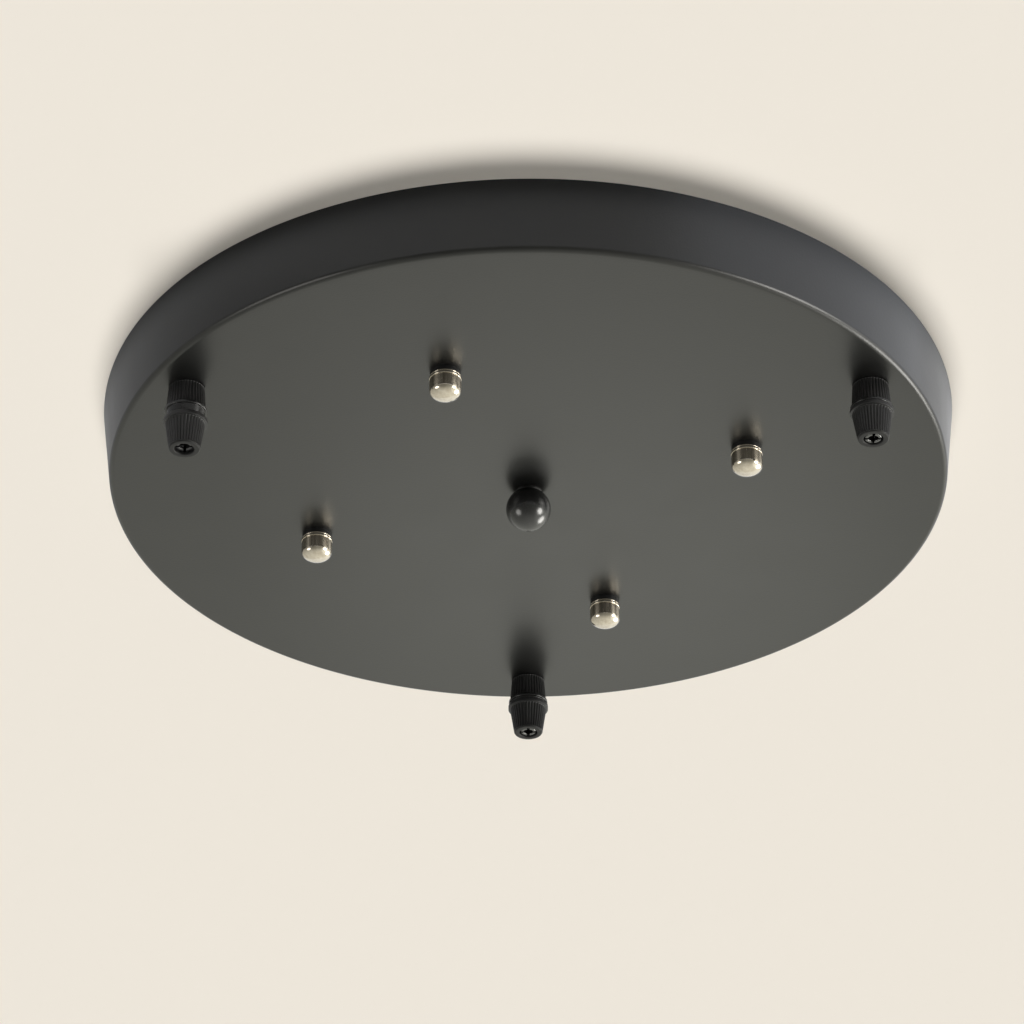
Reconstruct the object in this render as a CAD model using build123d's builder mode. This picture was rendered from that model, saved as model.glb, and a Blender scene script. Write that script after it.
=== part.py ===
# Round ceiling canopy for three pendant cords, in millimetres.
# Frame: the ceiling is the plane z = 0 and the canopy hangs below it. The origin is the centre of
# the canopy on the ceiling, and +Y points at the far cord grip.
import os
from math import asin, cos, radians, sin, sqrt

from build123d import *

os.makedirs("parts", exist_ok=True)

# Pan: one pressed sheet
rim_radius = 150.0
face_radius = 146.9
pan_depth = 26.3
sheet = 1.0
fold_radius = 2.0

# Cross bracket: two crossing strips in one pressing, its four pads against the ceiling
bracket_turn = -20.4
bracket_thick = 2.0
bracket_drop = 8.0
arm_width = 16.0
arm_end_flat = 2.0
arm_end_length = 22.0
hub_reach = 16.0
bend_radius = 2.5
ceiling_hole_distance = 50.0
ceiling_hole_radius = 2.6
slot_length = 11.0
slot_width = 4.6
fitting_gap = 2.5

# M4 screws of the bracket and the nuts on them
nut_distance = 80.5
stud_radius = 2.0
stud_reach = 34.0
screw_head_radius = 3.9
screw_head_height = 2.4
screw_slot_width = 1.0
screw_slot_depth = 1.1
thread_play = 0.05
spring_washer_radius = 3.6
spring_washer_height = 1.0
spring_washer_split = 0.8
lock_nut_flats = 7.0
lock_nut_height = 3.2
stud_hole_play = 0.3

# Cap nuts and their washers
nut_radius = 5.4
nut_flange_radius = 5.3
nut_flange_height = 0.4
nut_collar_radius = 5.5
nut_collar_height = 0.85
nut_groove = 0.25
nut_side = 4.15
nut_edge = 0.4
nut_dome = 2.7
nut_bore_play = 0.1
nut_bore_spare = 0.8
nut_washer_radius = 5.2
nut_washer_thick = 1.5

# Ball nut at the centre
ball_radius = 7.85
ball_washer_radius = 4.8
ball_washer_thick = 0.6
ball_seat_radius = 4.6

# Cord grips: body, cap and split clamp
grip_edge_distance = 13.3
grip_angles = {"left": 210.0, "right": 330.0, "far": 90.0}
cap_openings = {"left": 2.9, "right": 0.0, "far": 0.8}
rib_count = 36
rib_depth = 0.3
grip_thread_radius = 4.95
grip_thread_reach = 9.0
grip_hole_play = 0.2
collar_foot = 0.5
collar_foot_radius = 5.7
collar_length = 9.0
collar_top_radius = 6.15
collar_low_radius = 6.8
grip_ring_radius = 7.25
grip_ring_thick = 0.9
grip_neck_radius = 6.6
grip_neck_length = 1.3
cap_thread_radius = 4.75
cap_thread_length = 6.0
cord_bore_radius = 3.3
clamp_seat_depth = 9.0
cap_length = 11.6
cap_ring_radius = 7.45
cap_ring_height = 1.6
cap_recess_depth = 1.4
cap_top_radius = 6.8
cap_end_radius = 5.45
cap_thread_depth = 8.0
cap_shoulder_depth = 10.6
cap_shoulder_radius = 3.9
small_edge = 0.2
running_gap = 0.3
fit_play = 0.1
cap_stop_gap = 0.1
clamp_radius = 3.75
clamp_bore_radius = 2.9
clamp_jaw_radius = 1.7
clamp_top = 1.8
clamp_jaw_start = 8.3
clamp_jaw_end = 9.5
clamp_slot_top = 4.5
clamp_slot_width = 1.0
clamp_nose_radius = 3.45
clamp_nose_length = 1.1
grip_washer_radius = 8.3
grip_washer_thick = 0.7
grip_washer_teeth = 10
grip_nut_flats = 14.0
grip_nut_height = 3.0

# Terminal block and earth screw, under two opposite arms of the bracket
pole_pitch = 10.0
pole_count = 3
block_length = 17.0
block_height = 11.0
chimney_radius = 3.0
chimney_height = 3.5
chimney_spread = 4.8
tube_radius = 2.6
tube_bore_radius = 1.6
tube_length = 15.0
tube_depth = 6.0
clamp_screw_radius = 1.4
clamp_screw_length = 5.4
clamp_screw_sink = 1.0
fixing_screw_radius = 1.5
fixing_head_radius = 2.7
fixing_head_height = 1.9
earth_washer_radius = 4.5
earth_washer_thick = 0.8

# Levels and places that follow from the sizes above
face_level = -pan_depth
floor_level = face_level + sheet
seat_top = -bracket_drop
seat_under = seat_top - bracket_thick
pad_under = -bracket_thick
stud_low = -stud_reach
nut_seat = face_level - nut_washer_thick
ball_seat = face_level - ball_washer_thick
arm_corner_radius = (arm_width - arm_end_flat) / 2
arm_reach = nut_distance + arm_width / 2
arm_end_start = arm_reach - arm_end_length
pad_start = hub_reach + bracket_drop
pad_end = arm_end_start - bracket_drop
fitting_distance = pad_start + fitting_gap + block_length / 2
screw_places = [(0.0, 0.0)] + [
    (
        nut_distance * cos(radians(bracket_turn + 90 * arm)),
        nut_distance * sin(radians(bracket_turn + 90 * arm)),
    )
    for arm in range(4)
]
nut_names = ["right_near", "right_far", "left_far", "left_near"]
grip_distance = face_radius - grip_edge_distance
grip_places = {
    name: (grip_distance * cos(radians(angle)), grip_distance * sin(radians(angle)))
    for name, angle in grip_angles.items()
}
TOP = (Align.CENTER, Align.CENTER, Align.MAX)
LOW = (Align.CENTER, Align.CENTER, Align.MIN)


def arm_frame(arm):
    """Plane on the ceiling with its X along one arm of the bracket."""
    turn = radians(bracket_turn + 90 * arm)
    return Plane(origin=(0, 0, 0), x_dir=(cos(turn), sin(turn), 0), z_dir=(0, 0, 1))


def section_at(x, y):
    """Upright plane through a vertical axis at x, y: its X is the radius and its Y is the height."""
    return Plane(origin=(x, y, 0), x_dir=(1, 0, 0), z_dir=(0, -1, 0))


def upright(x, y):
    """Vertical axis at x, y."""
    return Axis((x, y, 0), (0, 0, 1))


def ribbed_outline(radius):
    """Corners of a ribbed circle, its crests at the given radius."""
    corners = []
    for step in range(2 * rib_count):
        reach = radius if step % 2 == 0 else radius - rib_depth
        angle = radians(step * 180 / rib_count)
        corners.append((reach * cos(angle), reach * sin(angle)))
    return corners


def save(piece, label):
    """Name a finished piece and write it."""
    piece.part.label = label
    export_step(piece.part, f"parts/{label}.step")


# The pan: flat face, tight fold and slightly tapered wall, then its holes
with BuildPart() as canopy_pan:
    with BuildSketch(Plane.XZ):
        with BuildLine():
            Polyline(
                (0, face_level),
                (face_radius, face_level),
                (rim_radius, 0),
                (rim_radius - sheet, 0),
                (face_radius - sheet, floor_level),
                (0, floor_level),
                close=True,
            )
        outline = make_face()
        fillet(outline.vertices().group_by(Axis.Y)[0].sort_by(Axis.X)[-1], fold_radius)
        fillet(outline.vertices().group_by(Axis.Y)[1].sort_by(Axis.X)[-1], fold_radius - sheet)
    revolve(axis=Axis.Z)
    with Locations(*[(x, y, face_level) for x, y in grip_places.values()]):
        Cylinder(grip_thread_radius + grip_hole_play, 4 * sheet, mode=Mode.SUBTRACT)
    with Locations(*[(x, y, face_level) for x, y in screw_places]):
        Cylinder(stud_radius + stud_hole_play, 4 * sheet, mode=Mode.SUBTRACT)
save(canopy_pan, "canopy_pan")

# The cross bracket: the hub and the four arm ends hang low, the pads lie on the ceiling
with BuildPart() as cross_bracket:
    for arm in range(2):
        turn = radians(bracket_turn + 90 * arm)
        side = Plane(origin=(0, 0, 0), x_dir=(cos(turn), sin(turn), 0), z_dir=(sin(turn), -cos(turn), 0))
        with BuildSketch(side):
            with BuildLine():
                FilletPolyline(
                    (-arm_reach, seat_top),
                    (-arm_end_start, seat_top),
                    (-pad_end, 0),
                    (-pad_start, 0),
                    (-hub_reach, seat_top),
                    (hub_reach, seat_top),
                    (pad_start, 0),
                    (pad_end, 0),
                    (arm_end_start, seat_top),
                    (arm_reach, seat_top),
                    radius=bend_radius,
                )
                offset(amount=bracket_thick, side=Side.RIGHT)
            make_face()
        extrude(amount=arm_width / 2, both=True)
    uprights = cross_bracket.edges().filter_by(Axis.Z).sort_by(lambda edge: edge.center().length)
    fillet(uprights[-8:], arm_corner_radius)
    with Locations(*[(x, y, seat_top) for x, y in screw_places]):
        Cylinder(stud_radius + thread_play, 4 * bracket_thick, mode=Mode.SUBTRACT)
    with PolarLocations(ceiling_hole_distance, 4, start_angle=bracket_turn):
        Cylinder(ceiling_hole_radius, 4 * bracket_thick, mode=Mode.SUBTRACT)
    with BuildSketch():
        with PolarLocations(fitting_distance, 2, start_angle=bracket_turn + 90):
            SlotOverall(slot_length, slot_width)
    extrude(amount=-2 * bracket_thick, mode=Mode.SUBTRACT)
    with Locations(arm_frame(0)):
        with Locations((fitting_distance, pole_pitch / 2)):
            Cylinder(fixing_screw_radius + thread_play, 4 * bracket_thick, mode=Mode.SUBTRACT)
    with Locations(arm_frame(2)):
        with Locations((fitting_distance, 0)):
            Cylinder(stud_radius + thread_play, 4 * bracket_thick, mode=Mode.SUBTRACT)
save(cross_bracket, "cross_bracket")

# Five pan-head screws, heads up on the bracket
with BuildPart() as bracket_screws:
    with Locations(*[(x, y, seat_top) for x, y in screw_places]):
        Cylinder(screw_head_radius, screw_head_height, align=LOW)
    fillet(bracket_screws.edges().group_by(Axis.Z)[-1], screw_head_height / 2)
    with Locations(*[(x, y, seat_top + screw_head_height) for x, y in screw_places]):
        Box(2 * screw_head_radius, screw_slot_width, screw_slot_depth, align=TOP, mode=Mode.SUBTRACT)
    with Locations(*[(x, y, seat_top) for x, y in screw_places]):
        Cylinder(stud_radius, stud_reach - bracket_drop, align=TOP)
    chamfer(bracket_screws.edges().group_by(Axis.Z)[0], small_edge)
save(bracket_screws, "bracket_screws")

# Split spring washers under the bracket
with BuildPart() as spring_washers:
    with Locations(*[(x, y, seat_under) for x, y in screw_places]):
        Cylinder(spring_washer_radius, spring_washer_height, align=TOP)
        Cylinder(stud_radius + thread_play, spring_washer_height, align=TOP, mode=Mode.SUBTRACT)
    with Locations(*[(x + spring_washer_radius, y, seat_under) for x, y in screw_places]):
        Box(
            2 * spring_washer_radius - stud_radius,
            spring_washer_split,
            spring_washer_height,
            align=TOP,
            mode=Mode.SUBTRACT,
        )
save(spring_washers, "spring_washers")

# Lock nuts under the spring washers
with BuildPart() as lock_nuts:
    with BuildSketch(Plane.XY.offset(seat_under - spring_washer_height)):
        with Locations(*screw_places):
            RegularPolygon(lock_nut_flats / 2, 6, major_radius=False)
            Circle(stud_radius + thread_play, mode=Mode.SUBTRACT)
    extrude(amount=-lock_nut_height)
save(lock_nuts, "lock_nuts")


def nut_washer(x, y, radius, thick):
    """Flat washer against the face of the pan, round one screw."""
    with BuildPart() as washer:
        with BuildSketch(Plane.XY.offset(face_level)):
            with Locations((x, y)):
                Circle(radius)
                Circle(stud_radius + stud_hole_play, mode=Mode.SUBTRACT)
        extrude(amount=-thick)
        chamfer(washer.edges().group_by(Axis.Z)[0].sort_by(SortBy.LENGTH)[-1], small_edge / 2)
    return washer


def cap_nut(x, y):
    """Turned cap nut: thin flange, collar, plain side and a shallow dome, with grooves between."""
    bore = stud_radius + nut_bore_play
    groove_radius = nut_radius - nut_groove
    flange_low = nut_seat - nut_flange_height
    collar_top = flange_low - nut_groove
    collar_low = collar_top - nut_collar_height
    side_low = collar_low - nut_groove - nut_side
    dome_level = side_low - nut_edge
    dome_base = nut_radius - nut_edge
    dome_curve = (dome_base**2 + nut_dome**2) / (2 * nut_dome)
    half_turn = asin(dome_base / dome_curve) / 2
    tip = dome_level - nut_dome
    with BuildPart() as nut:
        with BuildSketch(section_at(x, y)):
            with BuildLine():
                Polyline(
                    (0, nut_seat),
                    (nut_flange_radius, nut_seat),
                    (nut_flange_radius, flange_low),
                    (groove_radius, flange_low),
                    (groove_radius, collar_top),
                    (nut_collar_radius, collar_top),
                    (nut_collar_radius, collar_low),
                    (groove_radius, collar_low),
                    (nut_radius, collar_low - nut_groove),
                    (nut_radius, side_low),
                    (dome_base, dome_level),
                )
                ThreePointArc(
                    (dome_base, dome_level),
                    (dome_curve * sin(half_turn), tip + dome_curve * (1 - cos(half_turn))),
                    (0, tip),
                )
                Line((0, tip), (0, nut_seat))
            make_face()
        revolve(axis=upright(x, y))
        with Locations((x, y, nut_seat)):
            Cylinder(bore, nut_seat - stud_low + nut_bore_spare, align=TOP, mode=Mode.SUBTRACT)
    return nut


# Four cap nuts and their dark washers
for name, (x, y) in zip(nut_names, screw_places[1:]):
    save(nut_washer(x, y, nut_washer_radius, nut_washer_thick), f"nut_washer_{name}")
    save(cap_nut(x, y), f"cap_nut_{name}")

# The ball nut and its washer
save(nut_washer(0, 0, ball_washer_radius, ball_washer_thick), "ball_washer")
ball_center = ball_seat - sqrt(ball_radius**2 - ball_seat_radius**2)
with BuildPart() as ball_nut:
    with Locations((0, 0, ball_center)):
        Sphere(ball_radius)
    split(bisect_by=Plane.XY.offset(ball_seat), keep=Keep.BOTTOM)
    with Locations((0, 0, ball_seat)):
        Cylinder(
            stud_radius + nut_bore_play,
            ball_seat - stud_low + nut_bore_spare,
            align=TOP,
            mode=Mode.SUBTRACT,
        )
save(ball_nut, "ball_nut")


def grip_body(x, y):
    """Body of a cord grip: thread through the pan, ribbed collar, ring, neck and cap thread."""
    collar_low = face_level - collar_length
    ring_low = collar_low - grip_ring_thick
    neck_low = ring_low - grip_neck_length
    thread_low = neck_low - cap_thread_length
    thread_top = face_level + grip_thread_reach
    with BuildPart() as body:
        with BuildSketch(Plane.XY.offset(face_level - collar_foot)):
            with Locations((x, y)):
                Polygon(*ribbed_outline(collar_top_radius), align=None)
        with BuildSketch(Plane.XY.offset(collar_low)):
            with Locations((x, y)):
                Polygon(*ribbed_outline(collar_low_radius), align=None)
        loft(ruled=True)
        with BuildSketch(section_at(x, y)):
            with BuildLine():
                Polyline(
                    (0, thread_top),
                    (grip_thread_radius, thread_top),
                    (grip_thread_radius, face_level),
                    (collar_foot_radius, face_level),
                    (collar_foot_radius, collar_low),
                    (grip_ring_radius - small_edge, collar_low),
                    (grip_ring_radius, collar_low - small_edge),
                    (grip_ring_radius, ring_low + small_edge),
                    (grip_ring_radius - small_edge, ring_low),
                    (grip_neck_radius, ring_low),
                    (grip_neck_radius, neck_low),
                    (cap_thread_radius, neck_low),
                    (cap_thread_radius, thread_low),
                    (0, thread_low),
                    close=True,
                )
            make_face()
        revolve(axis=upright(x, y))
        with Locations((x, y, thread_top)):
            Cylinder(cord_bore_radius, thread_top - thread_low, align=TOP, mode=Mode.SUBTRACT)
        with Locations((x, y, thread_low)):
            Cylinder(
                clamp_radius + fit_play,
                face_level - clamp_seat_depth - thread_low,
                align=LOW,
                mode=Mode.SUBTRACT,
            )
    return body


def grip_cap(x, y, top):
    """Ribbed screw cap of a cord grip, its ring at the given level."""
    ring_low = top - cap_ring_height
    end = top - cap_length
    with BuildPart() as cap:
        with BuildSketch(Plane.XY.offset(ring_low)):
            with Locations((x, y)):
                Polygon(*ribbed_outline(cap_top_radius), align=None)
        with BuildSketch(Plane.XY.offset(end)):
            with Locations((x, y)):
                Polygon(*ribbed_outline(cap_end_radius), align=None)
        loft(ruled=True)
        with BuildSketch(section_at(x, y)):
            with BuildLine():
                Polyline(
                    (0, top),
                    (cap_ring_radius - small_edge, top),
                    (cap_ring_radius, top - small_edge),
                    (cap_ring_radius, ring_low + small_edge),
                    (cap_ring_radius - small_edge, ring_low),
                    (0, ring_low),
                    close=True,
                )
            make_face()
        revolve(axis=upright(x, y))
        with BuildSketch(section_at(x, y)):
            with BuildLine():
                Polyline(
                    (0, top),
                    (grip_neck_radius + running_gap, top),
                    (grip_neck_radius + running_gap, top - cap_recess_depth),
                    (cap_thread_radius + fit_play, top - cap_recess_depth),
                    (cap_thread_radius + fit_play, top - cap_thread_depth),
                    (cap_shoulder_radius, top - cap_shoulder_depth),
                    (cord_bore_radius, top - cap_shoulder_depth),
                    (cord_bore_radius, end + small_edge),
                    (cord_bore_radius + small_edge, end),
                    (0, end),
                    close=True,
                )
            make_face()
        revolve(axis=upright(x, y), mode=Mode.SUBTRACT)
    return cap


def cord_clamp(x, y, top):
    """Split clamp bush that rides in the cap: a tube with four jaws at its lower end."""
    nose = top - cap_shoulder_depth + running_gap
    with BuildPart() as clamp:
        with BuildSketch(section_at(x, y)):
            with BuildLine():
                Polyline(
                    (clamp_bore_radius, top - clamp_top),
                    (clamp_radius, top - clamp_top),
                    (clamp_radius, nose + clamp_nose_length),
                    (clamp_nose_radius, nose),
                    (clamp_jaw_radius, nose),
                    (clamp_jaw_radius, top - clamp_jaw_end),
                    (clamp_bore_radius, top - clamp_jaw_start),
                    close=True,
                )
            make_face()
        revolve(axis=upright(x, y))
        with Locations((x, y, top - clamp_slot_top)):
            Box(2 * cap_ring_radius, clamp_slot_width, cap_length, align=TOP, mode=Mode.SUBTRACT)
            Box(clamp_slot_width, 2 * cap_ring_radius, cap_length, align=TOP, mode=Mode.SUBTRACT)
    return clamp


# Three cord grips, their caps unscrewed by what the photograph shows
cap_closed_top = face_level - collar_length - grip_ring_thick - cap_stop_gap
for name, (x, y) in grip_places.items():
    cap_top = cap_closed_top - cap_openings[name]
    save(grip_body(x, y), f"grip_body_{name}")
    save(grip_cap(x, y, cap_top), f"grip_cap_{name}")
    save(cord_clamp(x, y, cap_top), f"cord_clamp_{name}")

# Toothed washers and thin nuts that hold the grips, inside the pan
with BuildPart() as grip_washers:
    with BuildSketch(Plane.XY.offset(floor_level)):
        for x, y in grip_places.values():
            with Locations((x, y)):
                Circle(grip_washer_radius)
                Circle(grip_thread_radius + grip_hole_play, mode=Mode.SUBTRACT)
            with Locations(Plane((x, y, 0))):
                with PolarLocations(grip_washer_radius, grip_washer_teeth):
                    Rectangle(grip_washer_radius / 4, grip_washer_radius / 5, mode=Mode.SUBTRACT)
    extrude(amount=grip_washer_thick)
save(grip_washers, "grip_washers")

with BuildPart() as grip_nuts:
    with BuildSketch(Plane.XY.offset(floor_level + grip_washer_thick)):
        with Locations(*grip_places.values()):
            RegularPolygon(grip_nut_flats / 2, 6, major_radius=False)
            Circle(grip_thread_radius + thread_play, mode=Mode.SUBTRACT)
    extrude(amount=grip_nut_height)
save(grip_nuts, "grip_nuts")

# Terminal block under the first arm: base, screw chimneys, cross bores for the brass tubes
block_arm = arm_frame(0)
poles = [pole_pitch * (pole - (pole_count - 1) / 2) for pole in range(pole_count)]
screw_spots = [
    (fitting_distance + side * chimney_spread, pole, pad_under) for pole in poles for side in (-1, 1)
]
fixing_spot = (fitting_distance, pole_pitch / 2, pad_under)
chimney_low = block_height + chimney_height
with BuildPart(block_arm) as terminal_block:
    with Locations((fitting_distance, 0, pad_under)):
        Box(block_length, pole_count * pole_pitch, block_height, align=TOP)
    fillet(terminal_block.edges().filter_by(Axis.Z), pole_pitch / 5)
    with Locations(*screw_spots):
        Cylinder(chimney_radius, chimney_low, align=TOP)
        Cylinder(clamp_screw_radius + small_edge, chimney_low, align=TOP, mode=Mode.SUBTRACT)
    with Locations(*[(fitting_distance, pole, pad_under - tube_depth) for pole in poles]):
        Cylinder(tube_radius + thread_play, 2 * block_length, rotation=(0, 90, 0), mode=Mode.SUBTRACT)
    with Locations(fixing_spot):
        Cylinder(fixing_screw_radius + small_edge, block_height, align=TOP, mode=Mode.SUBTRACT)
save(terminal_block, "terminal_block")

with BuildPart(block_arm) as terminal_tubes:
    with Locations(*[(fitting_distance, pole, pad_under - tube_depth) for pole in poles]):
        Cylinder(tube_radius, tube_length, rotation=(0, 90, 0))
        Cylinder(tube_bore_radius, tube_length, rotation=(0, 90, 0), mode=Mode.SUBTRACT)
    with Locations(*screw_spots):
        Cylinder(clamp_screw_radius + thread_play, chimney_low, align=TOP, mode=Mode.SUBTRACT)
save(terminal_tubes, "terminal_tubes")

with BuildPart(block_arm) as terminal_screws:
    with Locations(*[(u, v, level - chimney_low + clamp_screw_sink) for u, v, level in screw_spots]):
        Cylinder(clamp_screw_radius, clamp_screw_length, align=LOW)
        Box(2 * clamp_screw_radius, screw_slot_width / 2, screw_slot_depth, align=LOW, mode=Mode.SUBTRACT)
save(terminal_screws, "terminal_screws")

with BuildPart(block_arm) as terminal_fixing_screw:
    with Locations(fixing_spot):
        Cylinder(fixing_screw_radius, block_height, align=TOP)
        Cylinder(fixing_screw_radius, bracket_thick - thread_play, align=LOW)
    with Locations((fixing_spot[0], fixing_spot[1], pad_under - block_height)):
        Cylinder(fixing_head_radius, fixing_head_height, align=TOP)
    fillet(terminal_fixing_screw.edges().group_by(Axis.Z)[0], fixing_head_height / 2)
    with Locations((fixing_spot[0], fixing_spot[1], pad_under - block_height - fixing_head_height)):
        Box(2 * fixing_head_radius, screw_slot_width, screw_slot_depth, align=LOW, mode=Mode.SUBTRACT)
save(terminal_fixing_screw, "terminal_fixing_screw")

# Earth screw and its washer under the third arm
earth_arm = arm_frame(2)
with BuildPart(earth_arm) as earth_washer:
    with Locations((fitting_distance, 0, pad_under)):
        Cylinder(earth_washer_radius, earth_washer_thick, align=TOP)
        Cylinder(stud_radius + thread_play, earth_washer_thick, align=TOP, mode=Mode.SUBTRACT)
save(earth_washer, "earth_washer")

with BuildPart(earth_arm) as earth_screw:
    with Locations((fitting_distance, 0, pad_under - earth_washer_thick)):
        Cylinder(screw_head_radius, screw_head_height, align=TOP)
        Cylinder(stud_radius, earth_washer_thick + bracket_thick - thread_play, align=LOW)
    fillet(earth_screw.edges().group_by(Axis.Z)[0], screw_head_height / 2)
    with Locations((fitting_distance, 0, pad_under - earth_washer_thick - screw_head_height)):
        Box(2 * screw_head_radius, screw_slot_width, screw_slot_depth, align=LOW, mode=Mode.SUBTRACT)
save(earth_screw, "earth_screw")
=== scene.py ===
from math import asin, atan2, cos, hypot, inf, pi, radians, sin, sqrt

import bmesh
import bpy
from mathutils import Matrix, Vector


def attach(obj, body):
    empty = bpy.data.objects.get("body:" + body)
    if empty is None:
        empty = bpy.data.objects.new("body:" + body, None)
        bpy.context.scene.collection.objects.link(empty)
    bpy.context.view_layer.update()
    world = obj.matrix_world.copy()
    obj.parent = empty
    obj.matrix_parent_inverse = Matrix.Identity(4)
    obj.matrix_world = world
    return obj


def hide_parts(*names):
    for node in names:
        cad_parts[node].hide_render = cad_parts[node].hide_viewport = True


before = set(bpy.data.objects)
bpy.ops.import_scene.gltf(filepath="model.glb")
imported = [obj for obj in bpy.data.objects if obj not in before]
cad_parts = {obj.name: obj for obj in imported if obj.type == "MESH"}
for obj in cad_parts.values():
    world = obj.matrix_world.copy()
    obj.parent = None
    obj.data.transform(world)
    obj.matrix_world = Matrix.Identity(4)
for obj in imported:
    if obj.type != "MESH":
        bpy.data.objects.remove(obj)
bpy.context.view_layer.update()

# Lengths below are in millimetres, as in the CAD source, and heights count from the ceiling. Meshes are
# made in metres
MM = 0.001
FACE = -26.3
SHEET = 1.0
INSIDE = FACE + SHEET
GRIPS = {"left": (210.0, 2.9), "right": (330.0, 0.0), "far": (90.0, 0.8)}  # angle, opening of the cap
GRIP_DISTANCE = 133.6
NUTS = {"right_near": -20.4, "right_far": 69.6, "left_far": 159.6, "left_near": 249.6}  # angle
NUT_DISTANCE = 80.5
SMOOTH_ANGLE = radians(34)


# Camera at the photograph's viewing angle, fitted to the rim, the fold, the nuts and the grips
FOCAL = 4310.0
DISTANCE = 1530.0
TILT = radians(33.07)
YAW = radians(-0.25)
ROLL = radians(-0.36)
ORIGIN_PIXEL = (528.5, 430.0)
IMAGE = 1024
SENSOR = 36.0


def make_camera():
    place = Vector((sin(YAW) * cos(TILT), -cos(YAW) * cos(TILT), -sin(TILT))) * DISTANCE * MM
    ahead = -place.normalized()
    right = ahead.cross(Vector((0, 0, 1))).normalized()
    up = right.cross(ahead)
    side = atan2(ORIGIN_PIXEL[0] - IMAGE / 2, FOCAL)
    rise = atan2(IMAGE / 2 - ORIGIN_PIXEL[1], hypot(FOCAL, ORIGIN_PIXEL[0] - IMAGE / 2))
    ahead, right = ahead * cos(side) - right * sin(side), ahead * sin(side) + right * cos(side)
    ahead, up = ahead * cos(rise) - up * sin(rise), ahead * sin(rise) + up * cos(rise)
    right, up = right * cos(ROLL) + up * sin(ROLL), up * cos(ROLL) - right * sin(ROLL)
    data = bpy.data.cameras.new("camera")
    data.sensor_width = SENSOR
    data.lens = FOCAL * SENSOR / IMAGE
    data.clip_start = 0.05
    data.clip_end = 100
    camera = bpy.data.objects.new("camera", data)
    bpy.context.scene.collection.objects.link(camera)
    camera.matrix_world = Matrix.Translation(place) @ Matrix((right, up, -ahead)).transposed().to_4x4()
    bpy.context.scene.camera = camera


make_camera()


# Materials
NOISE_RANGE = (0.3, 0.7)  # most values of a noise lie in it
PATCH_DETAIL = 3
GRAIN_DETAIL = 2


def map_range(tree, value, old, new, smooth=False):
    """Maps a value from one range onto another."""
    node = tree.nodes.new("ShaderNodeMapRange")
    if smooth:
        node.interpolation_type = "SMOOTHSTEP"
    for key, number in zip(("From Min", "From Max", "To Min", "To Max"), (*old, *new)):
        node.inputs[key].default_value = number
    tree.links.new(value, node.inputs["Value"])
    return node.outputs["Result"]


def mix_shaders(tree, share, first, second):
    """Shader between two others, the second one where the share is 1."""
    node = tree.nodes.new("ShaderNodeMixShader")
    for socket, source in zip(node.inputs, (share, first, second)):
        tree.links.new(source, socket)
    return node.outputs[0]


def noise(tree, scale, detail, stretch):
    """Noise in the object's own metres; scale is in features per metre."""
    place = tree.nodes.new("ShaderNodeTexCoord")
    mapping = tree.nodes.new("ShaderNodeMapping")
    mapping.inputs["Scale"].default_value = stretch
    texture = tree.nodes.new("ShaderNodeTexNoise")
    texture.inputs["Scale"].default_value = scale
    texture.inputs["Detail"].default_value = detail
    tree.links.new(place.outputs["Object"], mapping.inputs["Vector"])
    tree.links.new(mapping.outputs["Vector"], texture.inputs["Vector"])
    return texture.outputs["Fac"]


def tint(tree, value, dark, light):
    node = tree.nodes.new("ShaderNodeMix")
    node.data_type = "RGBA"
    node.inputs["A"].default_value = (*dark, 1)
    node.inputs["B"].default_value = (*light, 1)
    tree.links.new(value, node.inputs["Factor"])
    return node.outputs["Result"]


def bump(tree, shader, value, height):
    """Height in millimetres."""
    node = tree.nodes.new("ShaderNodeBump")
    node.inputs["Distance"].default_value = height * MM
    node.inputs["Strength"].default_value = 1.0
    tree.links.new(value, node.inputs["Height"])
    tree.links.new(node.outputs["Normal"], shader.inputs["Normal"])


def varied(
    name, dark, light, rough, metallic=0, patch=60, grain=1500, height=0.004, stretch=(1, 1, 1), ior=1.5
):
    """Material with patches of colour and roughness, each from the first value to the second, and a fine
    grain in its surface. Patch and grain count per metre; height is the depth of the grain."""
    material = bpy.data.materials.new(name)
    material.use_nodes = True
    tree = material.node_tree
    shader = tree.nodes["Principled BSDF"]
    shader.inputs["Base Color"].default_value = (*light, 1)
    shader.inputs["Metallic"].default_value = metallic
    shader.inputs["Roughness"].default_value = sum(rough) / 2
    shader.inputs["IOR"].default_value = ior
    patches = noise(tree, patch, PATCH_DETAIL, stretch)
    shade = tint(tree, map_range(tree, patches, NOISE_RANGE, (0, 1)), dark, light)
    tree.links.new(shade, shader.inputs["Base Color"])
    tree.links.new(map_range(tree, patches, NOISE_RANGE, rough), shader.inputs["Roughness"])
    bump(tree, shader, noise(tree, grain, GRAIN_DETAIL, stretch), height)
    return material


def plastic(name, dark, light, rough, **options):
    """Black plastic with small patches."""
    return varied(name, dark, light, rough, patch=200, **options)


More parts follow.
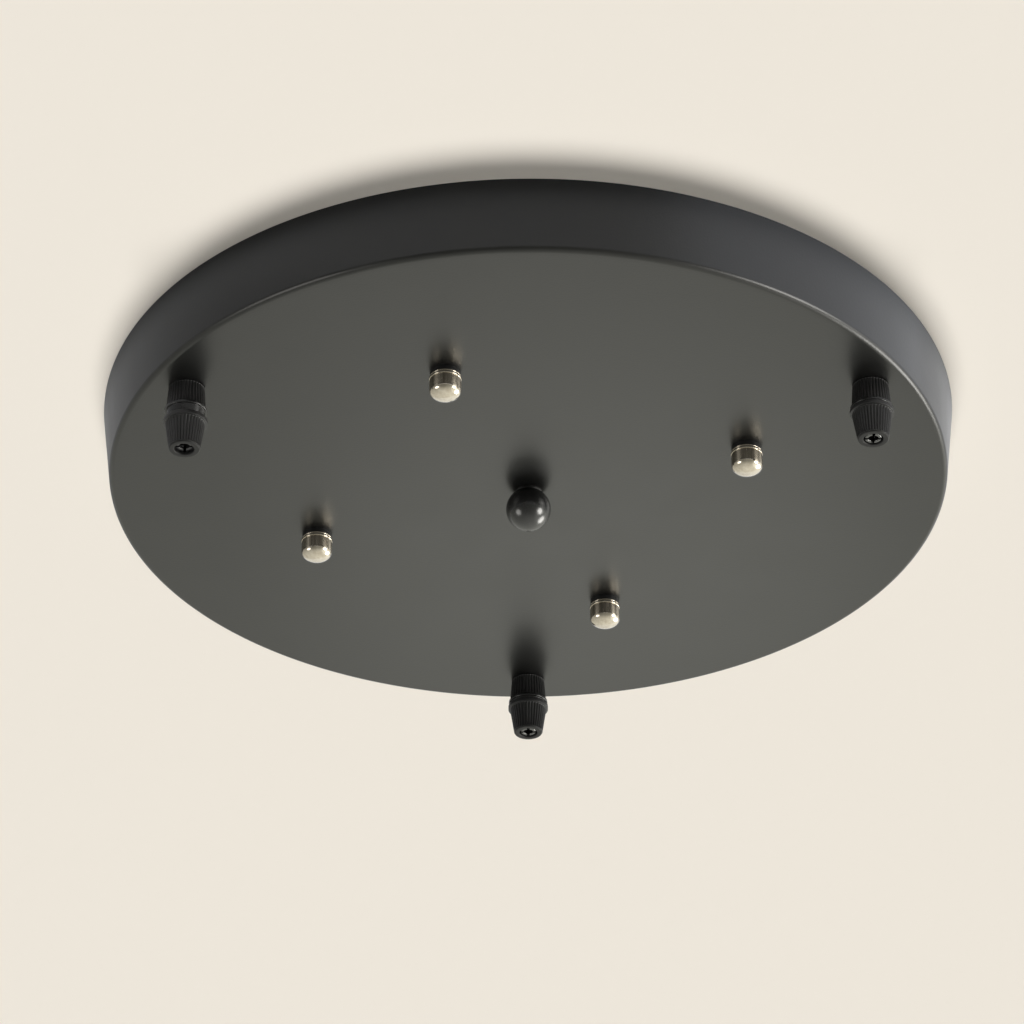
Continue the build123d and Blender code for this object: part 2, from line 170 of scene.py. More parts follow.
POWDER = varied(
    "powder_coat", (0.0100, 0.0101, 0.0096), (0.0125, 0.0125, 0.0116), (0.30, 0.34),
    grain=1400, height=0.025, ior=1.45,
)
BLACK_ENAMEL = varied(
    "black_enamel", (0.017, 0.017, 0.017), (0.021, 0.021, 0.021), (0.21, 0.26),
    grain=900, height=0.002, ior=1.6,
)
NYLON = plastic(
    "black_nylon", (0.017, 0.017, 0.0175), (0.024, 0.024, 0.0245), (0.40, 0.48), grain=3500, ior=1.45
)
DULL_NYLON = plastic(
    "dull_nylon", (0.010, 0.010, 0.010), (0.014, 0.014, 0.014), (0.46, 0.54), grain=3500, ior=1.30
)
SMOOTH_NYLON = plastic(
    "smooth_nylon", (0.010, 0.010, 0.011), (0.014, 0.014, 0.015), (0.20, 0.26), grain=2500, height=0.002
)
GLOSS_NYLON = plastic(
    "polished_nylon", (0.012, 0.012, 0.013), (0.018, 0.018, 0.019), (0.12, 0.18), height=0.002, ior=1.8
)
NICKEL = varied(
    "bright_nickel", (0.45, 0.400, 0.330), (0.56, 0.510, 0.437), (0.12, 0.18),
    metallic=1, patch=700, grain=900, height=0.0015, stretch=(1, 1, 0.1),
)
# Nickel for the sides of the nuts: the light and dark vertical streaks in its colour are painted reflection
# streaks, and the bump gives fine raised streaks
NICKEL_PAINTED_STREAKS = varied(
    "nickel_painted_reflection_streaks", (0.34, 0.297, 0.235), (0.66, 0.600, 0.500), (0.20, 0.30),
    metallic=1, patch=1100, grain=1300, height=0.03, stretch=(1, 1, 0.05),
)
ZINC = varied("zinc_plate", (0.55, 0.56, 0.58), (0.72, 0.73, 0.74), (0.28, 0.40), metallic=1, patch=150)
SPRING_STEEL = varied(
    "spring_steel", (0.28, 0.28, 0.29), (0.42, 0.42, 0.43), (0.30, 0.42), metallic=1, patch=200
)
BRASS = varied(
    "plain_brass", (0.62, 0.44, 0.18), (0.76, 0.58, 0.28), (0.22, 0.32), metallic=1, patch=200, height=0.003
)
WHITE_NYLON = varied(
    "white_nylon", (0.72, 0.71, 0.68), (0.80, 0.79, 0.76), (0.38, 0.46), patch=120, grain=2500
)

CAD_FINISH = {
    "cross_bracket": ZINC,
    "spring_washers": SPRING_STEEL,
    "lock_nuts": ZINC,
    "grip_washers": SPRING_STEEL,
    "grip_nuts": ZINC,
    "terminal_block": WHITE_NYLON,
    "terminal_tubes": BRASS,
    "terminal_screws": ZINC,
    "terminal_fixing_screw": ZINC,
    "earth_washer": ZINC,
    "earth_screw": BRASS,
    "ball_washer": NYLON,
}


# Turned and moulded shapes
ON_AXIS = 1e-6


def rounded(corners, steps):
    """Profile points from corners (radius, height, fillet), each corner rounded by its fillet."""
    points = []
    for index, corner in enumerate(corners):
        fillet = corner[2] if len(corner) > 2 else 0
        here = Vector(corner[:2])
        if not fillet or index in (0, len(corners) - 1):
            points.append(tuple(here))
            continue
        before = (Vector(corners[index - 1][:2]) - here).normalized()
        after = (Vector(corners[index + 1][:2]) - here).normalized()
        half = before.angle(after) / 2
        reach = fillet / (sin(half) / cos(half))
        start, end = here + before * reach, here + after * reach
        middle = here + (before + after).normalized() * (fillet / sin(half))
        first, last = start - middle, end - middle
        turn = first.angle(last)
        for step in range(steps + 1):
            share = step / steps
            blend = (first * sin((1 - share) * turn) + last * sin(share * turn)) / sin(turn)
            points.append(tuple(middle + blend))
    return points


def plain(angle, height):
    """Relief of a smooth row."""
    return 0.0


def turned(name, profile, centre, segments, closed=True):
    """Mesh turned round a vertical axis. Profile rows are (radius, height) or (radius, height, relief),
    where relief(angle, height) moves the surface out or in."""
    shape = bmesh.new()
    rows = []
    for row in profile:
        radius, height = row[:2]
        relief = row[2] if len(row) > 2 else plain
        if radius < ON_AXIS:
            rows.append([shape.verts.new((centre[0] * MM, centre[1] * MM, height * MM))])
            continue
        ring = []
        for step in range(segments):
            angle = 2 * pi * step / segments
            reach = radius + relief(angle, height)
            x, y = centre[0] + reach * cos(angle), centre[1] + reach * sin(angle)
            ring.append(shape.verts.new((x * MM, y * MM, height * MM)))
        rows.append(ring)
    pairs = list(zip(rows, rows[1:])) + ([(rows[-1], rows[0])] if closed else [])
    for above, below in pairs:
        for step in range(segments):
            follow = (step + 1) % segments
            corners = [above[step % len(above)], above[follow % len(above)]]
            corners += [below[follow % len(below)], below[step % len(below)]]
            unique = list(dict.fromkeys(corners))
            if len(unique) > 2:
                shape.faces.new(unique)
    return to_object(shape, name)


def smooth_shading(mesh):
    """Smooth surfaces with sharp edges between them."""
    mesh.shade_smooth()
    mesh.set_sharp_from_angle(angle=SMOOTH_ANGLE)


def to_object(shape, name):
    bmesh.ops.recalc_face_normals(shape, faces=shape.faces)
    mesh = bpy.data.meshes.new(name)
    shape.to_mesh(mesh)
    shape.free()
    smooth_shading(mesh)
    piece = bpy.data.objects.new(name, mesh)
    bpy.context.scene.collection.objects.link(piece)
    return piece


def finish_piece(piece, material, body, slot, *nodes):
    piece.data.materials.clear()
    piece.data.materials.append(material)
    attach(piece, body)
    if nodes:
        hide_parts(*nodes)


def paint(piece, material, top, low=-inf):
    """Gives the part of a piece between two heights another material."""
    piece.data.materials.append(material)
    for polygon in piece.data.polygons:
        polygon.material_index = int(low * MM < polygon.center.z < top * MM)


def thread_rows(radius, top, low, pitch, depth, steps=8):
    """Rows of a right-hand thread cut into a surface, fading out at both ends."""
    count = max(4, round((top - low) / pitch * steps))

    def cut(angle, height):
        return -depth * (0.5 - 0.5 * cos(2 * pi * height / pitch - angle))

    rows = []
    for index in range(count + 1):
        height = top + (low - top) * index / count
        share = min(1.0, min(top - height, height - low) / pitch)
        rows.append((radius, height, lambda angle, level, share=share: share * cut(angle, level)))
    return rows


def add_box(shape, centre, size, turn=0.0):
    """Box turned round the vertical, for cutting."""
    for vert in bmesh.ops.create_cube(shape, size=1.0)["verts"]:
        along, across, rise = (share * length for share, length in zip(vert.co, size))
        x = centre[0] + along * cos(turn) - across * sin(turn)
        y = centre[1] + along * sin(turn) + across * cos(turn)
        vert.co = [length * MM for length in (x, y, centre[2] + rise)]


def bake_modifiers(piece):
    """Applies a piece's modifiers to its mesh."""
    bpy.context.view_layer.update()
    evaluated = piece.evaluated_get(bpy.context.evaluated_depsgraph_get())
    mesh = bpy.data.meshes.new_from_object(evaluated)
    piece.modifiers.clear()
    piece.data = mesh
    smooth_shading(mesh)


def carve(piece, cut, crossing=False):
    """Takes a shape out of a piece; crossing tells that the shape's own parts cross each other."""
    cutter = to_object(cut, piece.name + "_cut")
    step = piece.modifiers.new("carve", "BOOLEAN")
    step.object = cutter
    step.operation = "DIFFERENCE"
    step.solver = "EXACT"
    step.use_self = crossing
    bake_modifiers(piece)
    bpy.data.objects.remove(cutter)


def join(pieces, name):
    """One mesh from several."""
    shape = bmesh.new()
    for piece in pieces:
        shape.from_mesh(piece.data)
        bpy.data.objects.remove(piece)
    return to_object(shape, name)


def place_at(distance, angle):
    return distance * cos(radians(angle)), distance * sin(radians(angle))


# Pan: a turned wall and two flat faces with the same holes
PAN_SEGMENTS = 384
RIM = 150.0
FOLD = 146.9
FACE_RING = 143.4  # where the fold has run out into the flat face
OUTER_FOLD_RADIUS = 2.0
INNER_FOLD_RADIUS = 1.0
RIM_EDGE = 0.25
GRIP_HOLE = 5.15
STUD_HOLE = 2.3
SAME_LEVEL = 1e-6
SAME_RADIUS = 1e-5


def circle(shape, x, y, radius, level, steps):
    """Ring of points round (x, y) at a height."""
    points = []
    for step in range(steps):
        angle = 2 * pi * step / steps
        place = (x + radius * cos(angle), y + radius * sin(angle), level)
        points.append(shape.verts.new([length * MM for length in place]))
    return points


def on_face_ring(vert, level):
    off_ring = abs(vert.co.xy.length - FACE_RING * MM)
    return abs(vert.co.z - level * MM) < SAME_LEVEL and off_ring < SAME_RADIUS


def make_pan():
    wall = rounded(
        [
            (FACE_RING, FACE),
            (FOLD, FACE, OUTER_FOLD_RADIUS),
            (RIM, 0, RIM_EDGE),
            (RIM - SHEET, 0, RIM_EDGE),
            (FOLD - SHEET, INSIDE, INNER_FOLD_RADIUS),
            (FACE_RING, INSIDE),
        ],
        12,
    )
    made = turned("pan", wall, (0, 0), PAN_SEGMENTS, closed=False)
    shape = bmesh.new()
    shape.from_mesh(made.data)
    holes = [(*place_at(GRIP_DISTANCE, angle), GRIP_HOLE, 64) for angle, _ in GRIPS.values()]
    holes += [(*place_at(NUT_DISTANCE, angle), STUD_HOLE, 40) for angle in NUTS.values()]
    holes.append((0, 0, STUD_HOLE, 40))
    levels = {}
    for level in (FACE, INSIDE):
        edges = [
            edge
            for edge in shape.edges
            if edge.is_boundary and all(on_face_ring(vert, level) for vert in edge.verts)
        ]
        levels[level] = []
        for x, y, radius, steps in holes:
            ring = circle(shape, x, y, radius, level, steps)
            edges += [shape.edges.new((ring[step], ring[(step + 1) % steps])) for step in range(steps)]
            levels[level].append(ring)
        bmesh.ops.triangle_fill(shape, use_beauty=True, use_dissolve=False, edges=edges)
    for lower, upper in zip(levels[FACE], levels[INSIDE]):
        for step in range(len(lower)):
            follow = (step + 1) % len(lower)
            shape.faces.new((lower[step], lower[follow], upper[follow], upper[step]))
    bmesh.ops.recalc_face_normals(shape, faces=shape.faces)
    shape.to_mesh(made.data)
    shape.free()
    smooth_shading(made.data)
    finish_piece(made, POWDER, "canopy", "canopy_pan", "canopy_pan")
    return made


pan = make_pan()


# Screws of the bracket: pan heads with a slot, threaded down to the nuts
SEAT_TOP = -8.0
STUD_LOW = -34.0
STUD = 2.0
STUD_PITCH = 0.7
STUD_THREAD = 0.42
HEAD = 3.9
HEAD_TOP = SEAT_TOP + 2.4
HEAD_EDGE = 1.5
SLOT_LENGTH = 10.0
SLOT_WIDTH = 1.0
SLOT_DEPTH = 1.1


def make_screw(name, x, y):
    profile = [(0, HEAD_TOP)] + rounded([(1.0, HEAD_TOP), (HEAD, HEAD_TOP, HEAD_EDGE), (HEAD, SEAT_TOP)], 8)
    profile += [(STUD, SEAT_TOP)]
    profile += thread_rows(STUD, SEAT_TOP - 2.2, STUD_LOW + 0.3, STUD_PITCH, STUD_THREAD, steps=7)
    profile += [(STUD - 0.45, STUD_LOW), (0, STUD_LOW)]
    screw = turned(name, profile, (x, y), 48, closed=False)
    cut = bmesh.new()
    add_box(cut, (x, y, HEAD_TOP), (SLOT_LENGTH, SLOT_WIDTH, 2 * SLOT_DEPTH))
    carve(screw, cut)
    return screw


screw_places = [(0, 0)] + [place_at(NUT_DISTANCE, angle) for angle in NUTS.values()]
screw_pieces = [make_screw(f"screw_{index}", x, y) for index, (x, y) in enumerate(screw_places)]
screws = join(screw_pieces, "threaded_screws")
finish_piece(screws, ZINC, "canopy", "bracket_screws", "bracket_screws")


# Cap nuts: flange, collar, plain side and dome with grooves between, the edges softened by the plating
NUT_SEAT = FACE - 1.5
FLANGE_LOW = NUT_SEAT - 0.4
NUT_COLLAR_TOP = NUT_SEAT - 0.65
NUT_COLLAR_LOW = NUT_SEAT - 1.5
NUT_SHOULDER = NUT_SEAT - 5.7
DOME_TIP = NUT_SEAT - 8.7
DOME_STEPS = 22
FLANGE = 5.3
NUT_COLLAR = 5.5
NUT_GROOVE = 5.13
NUT_SIDE = 5.4
# Bore of the cap nuts and the ball nut
BORE = 2.1
BORE_MOUTH = 2.5
MOUTH_DEPTH = 0.4
BORE_END = STUD_LOW - 0.8


def dome_rows():
    """Quarter ellipse from the side of a nut down to the tip of its dome."""
    turns = [pi / 2 * step / DOME_STEPS for step in range(1, DOME_STEPS)]
    rows = [(NUT_SIDE * cos(turn), NUT_SHOULDER - (NUT_SHOULDER - DOME_TIP) * sin(turn)) for turn in turns]
    return rows + [(0, DOME_TIP)]


def make_cap_nut(name, x, y):
    side = rounded(
        [
            (BORE, NUT_SEAT - MOUTH_DEPTH),
            (BORE_MOUTH, NUT_SEAT),
            (FLANGE, NUT_SEAT, 0.12),
            (FLANGE, FLANGE_LOW, 0.16),
            (NUT_GROOVE, FLANGE_LOW - 0.03, 0.04),
            (NUT_GROOVE, NUT_COLLAR_TOP + 0.03, 0.04),
            (NUT_COLLAR, NUT_COLLAR_TOP, 0.16),
            (NUT_COLLAR, NUT_COLLAR_LOW, 0.22),
            (NUT_GROOVE, NUT_COLLAR_LOW - 0.03, 0.05),
            (NUT_SIDE, NUT_COLLAR_LOW - 0.28, 0.2),
            (NUT_SIDE, NUT_SHOULDER),
        ],
        6,
    )
    bore = [(0, BORE_END), (BORE, BORE_END)]
    return turned(name, bore + side + dome_rows(), (x, y), 128, closed=False)


nuts = []
for label, angle in NUTS.items():
    nut = make_cap_nut(f"domed_nut_{label}", *place_at(NUT_DISTANCE, angle))
    finish_piece(nut, NICKEL, f"cap_nut_{label}", "cap_nut", f"cap_nut_{label}")
    # Between collar and dome the side gets the painted reflection streaks
    paint(nut, NICKEL_PAINTED_STREAKS, NUT_COLLAR_LOW, NUT_SHOULDER + 0.1)
    nuts.append(nut)
    CAD_FINISH[f"nut_washer_{label}"] = NYLON


# Ball nut
BALL = 7.85
BALL_SEAT = FACE - 0.6
BALL_SEAT_RADIUS = 4.6
BALL_STEPS = 48


def make_ball():
    centre = BALL_SEAT - sqrt(BALL**2 - BALL_SEAT_RADIUS**2)
    start = asin(BALL_SEAT_RADIUS / BALL)
    profile = [(0, BORE_END), (BORE, BORE_END), (BORE, BALL_SEAT - MOUTH_DEPTH), (BORE_MOUTH, BALL_SEAT)]
    for step in range(BALL_STEPS + 1):
        turn = start + (pi - start) * step / BALL_STEPS
        profile.append((BALL * sin(turn) if step < BALL_STEPS else 0, centre + BALL * cos(turn)))
    return turned("round_nut", profile, (0, 0), 96, closed=False)


finish_piece(make_ball(), BLACK_ENAMEL, "ball_nut", "ball_nut", "ball_nut")


# Cord grips: ribbed body, ribbed screw cap and split clamp. Rows of the profiles are radius, height, fillet
RIB_COUNT = 36
RIB_DEPTH = 0.34
RIB_FADE = 0.25
RIB_STEPS = 3
GRIP_SEGMENTS = 10 * RIB_COUNT
GRIP_TOP = FACE + 9.0
COLLAR_LOW = FACE - 9.0
RING_LOW = COLLAR_LOW - 0.9
GUIDE_LOW = RING_LOW - 3.0
GRIP_LOW = RING_LOW - 7.3
SLEEVE = 4.95
SLEEVE_BORE = 3.3
SLEEVE_PITCH = 1.0
SLEEVE_THREAD = 0.5
RING = 7.25
NECK = 6.6
GUIDE = 5.95
CAP_THREAD = 4.75
CAP_PITCH = 1.5
CAP_THREAD_DEPTH = 0.6
CLOSED_GAP = 0.1
CAP_PLAY = 0.15
CAP_RING = 7.45
CAP_RING_HEIGHT = 1.6
CAP_HEIGHT = 11.6
CAP_RECESS = 3.3
CAP_INSIDE = 4.85
CORD_HOLE = 3.3
DULL_END = 0.4
CLAMP_TOP = 1.8
CLAMP = 3.75
CLAMP_NOSE = 10.3
CLAMP_SLOT = (12.0, 1.0, 10.0)
CLAMP_SLOT_TOP = 4.5
JAW = 3.0
JAW_HOLE = 1.7
JAW_REACH = {"left": 0.1, "right": 1.0, "far": 0.9}  # length of the jaws below the clamp's nose


def ribs(angle):
    """Half-round ribs with a groove between each two."""
    return -RIB_DEPTH * (1 - abs(sin(RIB_COUNT * angle / 2)))


def ribbed_rows(top_radius, top, low_radius, low):
    """Rows of a ribbed cone, the grooves running out at both ends."""
    start = top - RIB_FADE
    run = low - top + 2 * RIB_FADE
    levels = [top, start] + [start + run * k / RIB_STEPS for k in range(1, RIB_STEPS)]
    levels += [low + RIB_FADE, low]
    rows = []
    for index, height in enumerate(levels):
        share = 0.0 if index in (0, len(levels) - 1) else 1.0
        radius = top_radius + (low_radius - top_radius) * (top - height) / (top - low)
        rows.append((radius, height, lambda angle, level, share=share: share * ribs(angle)))
    return rows


def make_grip_body(name, x, y):
    # Threaded sleeve through the pan
    profile = [(SLEEVE_BORE, GRIP_TOP - 0.3), (3.6, GRIP_TOP), (4.6, GRIP_TOP)]
    profile += thread_rows(SLEEVE, GRIP_TOP - 0.35, FACE + 0.1, SLEEVE_PITCH, SLEEVE_THREAD)
    # Seat on the pan's face, ribbed collar, ring and neck
    profile += [(SLEEVE, FACE), (5.6, FACE), (5.75, FACE - 0.12), (5.75, FACE - 0.3)]
    profile += ribbed_rows(6.15, FACE - 0.42, 6.8, COLLAR_LOW)
    profile += rounded(
        [
            (6.85, COLLAR_LOW),
            (RING, COLLAR_LOW, 0.1),
            (RING, RING_LOW, 0.3),
            (NECK, RING_LOW, 0.1),
            (GUIDE, GUIDE_LOW, 0.25),
            (4.8, GUIDE_LOW),
        ],
        4,
    )
    # Thread that the cap runs on, and the bore
    profile += thread_rows(CAP_THREAD, GUIDE_LOW - 0.05, GRIP_LOW + 0.35, CAP_PITCH, CAP_THREAD_DEPTH)
    profile += [(4.5, GRIP_LOW), (3.95, GRIP_LOW), (3.85, GRIP_LOW + 0.2)]
    profile += [(3.85, COLLAR_LOW), (SLEEVE_BORE, COLLAR_LOW)]
    return turned(name, profile, (x, y), GRIP_SEGMENTS)


def make_grip_cap(name, x, y, top):
    ring_low = top - CAP_RING_HEIGHT
    end = top - CAP_HEIGHT
    inner = top - 10.6
    profile = rounded(
        [
            (NECK + CAP_PLAY, top),
            (CAP_RING, top, 0.28),
            (CAP_RING, ring_low, 0.14),
            (6.85, ring_low),
        ],
        5,
    )
    profile += ribbed_rows(6.8, ring_low - 0.02, 5.35, end + 0.5)
    profile += rounded(
        [
            (5.25, end + 0.45),
            (5.1, end, 0.38),
            (CORD_HOLE, end, 0.42),
            (CORD_HOLE, inner),
            (3.9, inner),
        ],
        6,
    )
    profile += [(CAP_INSIDE, top - 8.0), (CAP_INSIDE, top - CAP_RECESS), (GUIDE + CAP_PLAY, top - CAP_RECESS)]
    return turned(name, profile, (x, y), GRIP_SEGMENTS)


def make_clamp(name, x, y, top, reach):
    """Clamp whose jaws reach into the cap's hole."""
    nose = top - CLAMP_NOSE
    profile = rounded(
        [
            (2.9, top - CLAMP_TOP),
            (CLAMP, top - CLAMP_TOP, 0.15),
            (CLAMP, nose + 1.1, 0.3),
            (3.45, nose, 0.05),
            (JAW, nose - 0.05, 0.03),
            (JAW, nose - reach, 0.5),
            (JAW_HOLE, nose - reach, 0.35),
            (JAW_HOLE, top - 9.5, 0.2),
            (2.9, top - 8.3, 0.2),
            (2.9, top - CLAMP_TOP - 0.01),
        ],
        4,
    )
    clamp = turned(name, profile, (x, y), 96)
    cut = bmesh.new()
    for turn in (0, pi / 2):
        add_box(cut, (x, y, top - CLAMP_SLOT_TOP - CLAMP_SLOT[2] / 2), CLAMP_SLOT, turn)
    carve(clamp, cut, crossing=True)
    return clamp


for label, (angle, opening) in GRIPS.items():
    x, y = place_at(GRIP_DISTANCE, angle)
    cap_top = RING_LOW - CLOSED_GAP - opening
    body = make_grip_body(f"ribbed_body_{label}", x, y)
    finish_piece(body, NYLON, "canopy", "grip_body", f"grip_body_{label}")
    paint(body, SMOOTH_NYLON, COLLAR_LOW - 0.3)
    cap = make_grip_cap(f"ribbed_cap_{label}", x, y, cap_top)
    finish_piece(cap, NYLON, f"grip_cap_{label}", "grip_cap", f"grip_cap_{label}")
    paint(cap, DULL_NYLON, cap_top - CAP_HEIGHT + DULL_END)
    clamp = make_clamp(f"split_clamp_{label}", x, y, cap_top, JAW_REACH[label])
    clamp_finish = NYLON if label == "left" else GLOSS_NYLON
    finish_piece(clamp, clamp_finish, f"cord_clamp_{label}", "cord_clamp", f"cord_clamp_{label}")


# CAD pieces that keep their own shape: a finish, and edges softened by a small bevel
SOFT_EDGE = 0.12
SOFT_ANGLE = radians(40)

for node, material in CAD_FINISH.items():
    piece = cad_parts[node]
    piece.data.materials.clear()
    piece.data.materials.append(material)
    soften = piece.modifiers.new("edges", "BEVEL")
    soften.width = SOFT_EDGE * MM
    soften.segments = 2
    soften.limit_method = "ANGLE"
    soften.angle_limit = SOFT_ANGLE
    soften.harden_normals = False


# Stage: a pale ceiling seen only from below, and a pale floor seen only from above. The floor shows in no
# reflection and neither lights nor shades the part
CEILING_COLOR = (0.847, 0.791, 0.701)
# Greys of the ceiling in reflections, for its left side and the rest, and where along X the one fades into
# the other: a painted reflection, darker on the left as painted shade
CEILING_PAINTED_REFLECTION = (0.52, 0.80)
MIRROR_FADE = (-0.160, -0.100)  # metres along X
CEILING_HOLE = 149.3
FLOOR_COLOR = (0.95, 0.94, 0.92)
FLOOR_HOLE = 0.001
FLOOR_LEVEL = -48.0
STAGE_REACH = 40000.0
STAGE_STEPS = 256


def ring_plane(name, level, inner, outer, faces_down):
    shape = bmesh.new()
    rings = [circle(shape, 0, 0, radius, level, STAGE_STEPS) for radius in (inner, outer)]
    for step in range(STAGE_STEPS):
        follow = (step + 1) % STAGE_STEPS
        corners = [rings[0][step], rings[1][step], rings[1][follow], rings[0][follow]]
        shape.faces.new(corners if not faces_down else corners[::-1])
    mesh = bpy.data.meshes.new(name)
    shape.to_mesh(mesh)
    shape.free()
    plane = bpy.data.objects.new(name, mesh)
    bpy.context.scene.collection.objects.link(plane)
    return plane


def one_sided(name, color, mirrored=None):
    """Matte paint that is see-through from behind. Its mirror image may have another brightness on the left,
    given as (low, high): the grey of the left side and of the rest. That grey is a painted reflection, and
    its darker left side is painted shade."""
    material = bpy.data.materials.new(name)
    material.use_nodes = True
    tree = material.node_tree
    tree.nodes.clear()
    output = tree.nodes.new("ShaderNodeOutputMaterial")
    matte = tree.nodes.new("ShaderNodeBsdfDiffuse")
    matte.inputs["Color"].default_value = (*color, 1)
    front = matte.outputs[0]
    side = tree.nodes.new("ShaderNodeNewGeometry")
    # Glossy rays see a painted reflection: a grey that turns darker towards the left as painted shade
    if mirrored:
        across = tree.nodes.new("ShaderNodeSeparateXYZ")
        tree.links.new(side.outputs["Position"], across.inputs[0])
        grey = map_range(tree, across.outputs["X"], MIRROR_FADE, mirrored, smooth=True)
        image = tree.nodes.new("ShaderNodeBsdfDiffuse")
        tree.links.new(grey, image.inputs["Color"])
        path = tree.nodes.new("ShaderNodeLightPath")
        front = mix_shaders(tree, path.outputs["Is Glossy Ray"], front, image.outputs[0])
    clear = tree.nodes.new("ShaderNodeBsdfTransparent")
    shown = mix_shaders(tree, side.outputs["Backfacing"], front, clear.outputs[0])
    tree.links.new(shown, output.inputs["Surface"])
    return material


# In reflections the ceiling shows a painted grey, darker on its left as painted shade
ceiling = ring_plane("ceiling", 0.0, CEILING_HOLE, STAGE_REACH, True)
ceiling.data.materials.append(one_sided("ceiling_paint", CEILING_COLOR, CEILING_PAINTED_REFLECTION))
floor = ring_plane("floor", FLOOR_LEVEL, FLOOR_HOLE, STAGE_REACH, False)
floor.data.materials.append(one_sided("floor_paint", FLOOR_COLOR))
floor.visible_diffuse = False
floor.visible_glossy = False
floor.visible_transmission = False
floor.visible_shadow = False


# Light, first a soft room for reflections, brighter beyond the canopy than behind the camera: rows are
# the cosine of the angle to the bright end, and the brightness
ROOM_SHINE = [
    (-0.97, 0.26),
    (-0.80, 0.30),
    (-0.53, 0.38),
    (-0.38, 0.46),
    (-0.19, 0.62),
    (0.00, 0.78),
    (0.20, 0.90),
    (0.40, 0.98),
    (0.60, 1.06),
    (0.78, 1.12),
    (0.90, 1.10),
    (1.00, 0.88),
]
BRIGHT_END = (0, 1, -0.25)
SHINE_TOP = 1.3
SHINE_TINT = (1, 0.997, 0.885)
SIDE_SHINE = (0.60, 1.40)  # factors at the left and the right
SKY_RISE = (0.0, 0.4)
SKY_LIGHT = (0.0, 0.5)
SHOWN_COLOR = (0.87, 0.84, 0.80)


def make_world():
    world = bpy.data.worlds.new("room")
    bpy.context.scene.world = world
    world.use_nodes = True
    tree = world.node_tree
    tree.nodes.clear()
    output = tree.nodes.new("ShaderNodeOutputWorld")
    path = tree.nodes.new("ShaderNodeLightPath")
    place = tree.nodes.new("ShaderNodeTexCoord")

    def along(direction):
        dot = tree.nodes.new("ShaderNodeVectorMath")
        dot.operation = "DOT_PRODUCT"
        dot.inputs[1].default_value = Vector(direction).normalized()
        tree.links.new(place.outputs["Generated"], dot.inputs[0])
        return dot.outputs["Value"]

    shown = tree.nodes.new("ShaderNodeBackground")
    shown.inputs["Color"].default_value = (*SHOWN_COLOR, 1)
    ramp = tree.nodes.new("ShaderNodeValToRGB")
    ramp.color_ramp.interpolation = "B_SPLINE"
    stops = ramp.color_ramp.elements
    while len(stops) < len(ROOM_SHINE):
        stops.new(1.0)
    for stop, (dot, shine) in zip(stops, ROOM_SHINE):
        stop.position = (dot + 1) / 2
        stop.color = (*(share * shine / SHINE_TOP for share in SHINE_TINT), 1)
    tree.links.new(map_range(tree, along(BRIGHT_END), (-1, 1), (0, 1)), ramp.inputs["Fac"])
    mirrored = tree.nodes.new("ShaderNodeBackground")
    sides = [factor * SHINE_TOP for factor in SIDE_SHINE]
    tree.links.new(map_range(tree, along((1, 0, 0)), (-1, 1), sides), mirrored.inputs["Strength"])
    tree.links.new(ramp.outputs["Color"], mirrored.inputs["Color"])
    lighting = tree.nodes.new("ShaderNodeBackground")
    tree.links.new(map_range(tree, along((0, 0, 1)), SKY_RISE, SKY_LIGHT), lighting.inputs["Strength"])
    unseen = mix_shaders(tree, path.outputs["Is Diffuse Ray"], mirrored.outputs[0], lighting.outputs[0])
    room = mix_shaders(tree, path.outputs["Is Camera Ray"], unseen, shown.outputs[0])
    tree.links.new(room, output.inputs["Surface"])
    world.cycles.sampling_method = "NONE"


make_world()


# Then lamps at infinity: lamp_ahead and lamp_behind light matte surfaces and draw the shadow on the
# ceiling, lamp_above lights the part from above, and the others only show as highlights
def group(name, pieces):
    collection = bpy.data.collections.new(name)
    for piece in pieces:
        collection.objects.link(piece)
    return collection


def make_sun(name, direction, strength, spread, color, matte=False, gloss=True, only=None):
    """Lamp in the given direction; it may light some pieces only, and be shaded by them only."""
    data = bpy.data.lights.new(name, "SUN")
    data.energy = strength
    data.angle = radians(spread)
    data.color = color
    lamp = bpy.data.objects.new(name, data)
    bpy.context.scene.collection.objects.link(lamp)
    lamp.rotation_mode = "QUATERNION"
    lamp.rotation_quaternion = Vector(direction).to_track_quat("Z", "Y")
    lamp.visible_diffuse = matte
    lamp.visible_glossy = gloss
    if only:
        lamp.light_linking.receiver_collection = group(name + "_lit", only)
        lamp.light_linking.blocker_collection = group(name + "_shading", only)


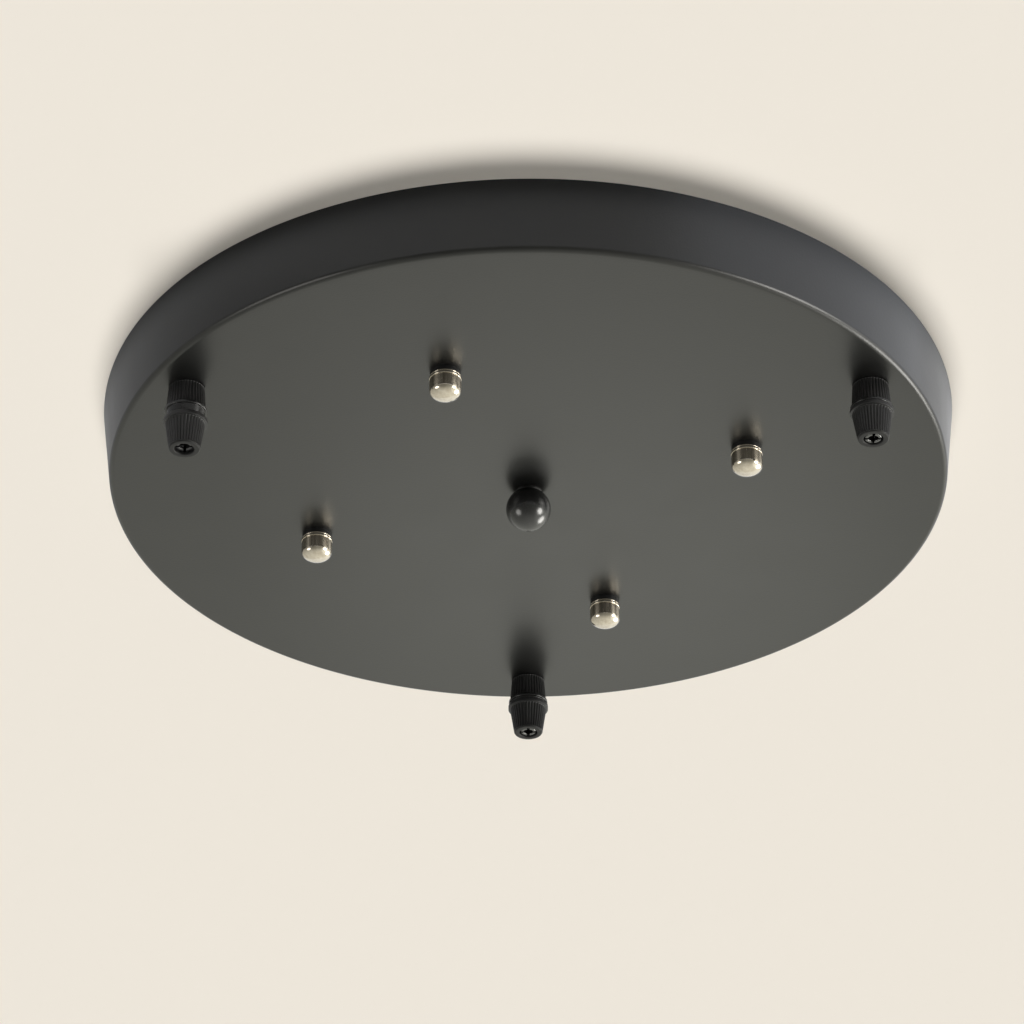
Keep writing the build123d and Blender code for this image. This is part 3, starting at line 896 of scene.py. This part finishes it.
WARM_WHITE = (1.0, 0.98, 0.93)
COOL_WHITE = (0.93, 0.97, 1.06)
BLUE_WHITE = (0.93, 1.0, 1.15)
PALE_WHITE = (1.0, 0.98, 0.95)
PLAIN_WHITE = (1, 1, 1)
make_sun("lamp_right", (0.877, -0.314, -0.363), 2.2, 26, WARM_WHITE)
make_sun("lamp_right_far", (0.762, 0.408, -0.502), 2.0, 28, WARM_WHITE)
make_sun("lamp_left", (-0.794, -0.356, -0.493), 0.65, 26, WARM_WHITE)
make_sun("lamp_glow", (0.87, 0.05, -0.44), 0.40, 70, WARM_WHITE)
make_sun("lamp_ahead", (0.0, 0.652, -1.0), 2.80, 28, PLAIN_WHITE, matte=True, gloss=False)
make_sun("lamp_behind", (0.0, -0.4, -1.0), 0.86, 30, PLAIN_WHITE, matte=True, gloss=False)
make_sun("lamp_above", (0.15, -0.25, 0.95), 2.2, 30, PALE_WHITE, matte=True)
make_sun("lamp_on_wall", (0.92, -0.12, 0.39), 1.07, 80, COOL_WHITE, only=[pan])
make_sun("lamp_on_wall_edge", (0.44, 0.71, 0.546), 0.12, 42, PLAIN_WHITE, only=[pan])
make_sun("lamp_on_domes", (0.15, 0.98, -0.10), 0.27, 70, BLUE_WHITE, only=nuts)
make_sun("lamp_on_sides", (0.0, -0.75, 0.66), 0.12, 120, WARM_WHITE, only=nuts)

# Last, a soft panel close to the canopy that shows in the pan alone
PANEL_MIDDLE = (30, 40, FACE)
PANEL_DIRECTION = (0, 0.838, -0.546)
PANEL_DISTANCE = 500
PANEL_SIZE = (280, 160)
PANEL_POWER = 0.09
PANEL_COLOR = (1.0, 1.0, 0.93)


def make_panel():
    data = bpy.data.lights.new("panel_ahead", "AREA")
    data.shape = "ELLIPSE"
    data.size = PANEL_SIZE[0] * MM
    data.size_y = PANEL_SIZE[1] * MM
    data.energy = PANEL_POWER
    data.color = PANEL_COLOR
    lamp = bpy.data.objects.new("panel_ahead", data)
    bpy.context.scene.collection.objects.link(lamp)
    away = Vector(PANEL_DIRECTION).normalized()
    lamp.location = (Vector(PANEL_MIDDLE) + away * PANEL_DISTANCE) * MM
    lamp.rotation_mode = "QUATERNION"
    lamp.rotation_quaternion = away.to_track_quat("Z", "Y")
    lamp.visible_camera = False
    lamp.visible_diffuse = False
    lamp.light_linking.receiver_collection = group("panel_ahead_lit", [pan])


make_panel()

scene = bpy.context.scene
scene.view_settings.view_transform = "Standard"
scene.view_settings.look = "None"
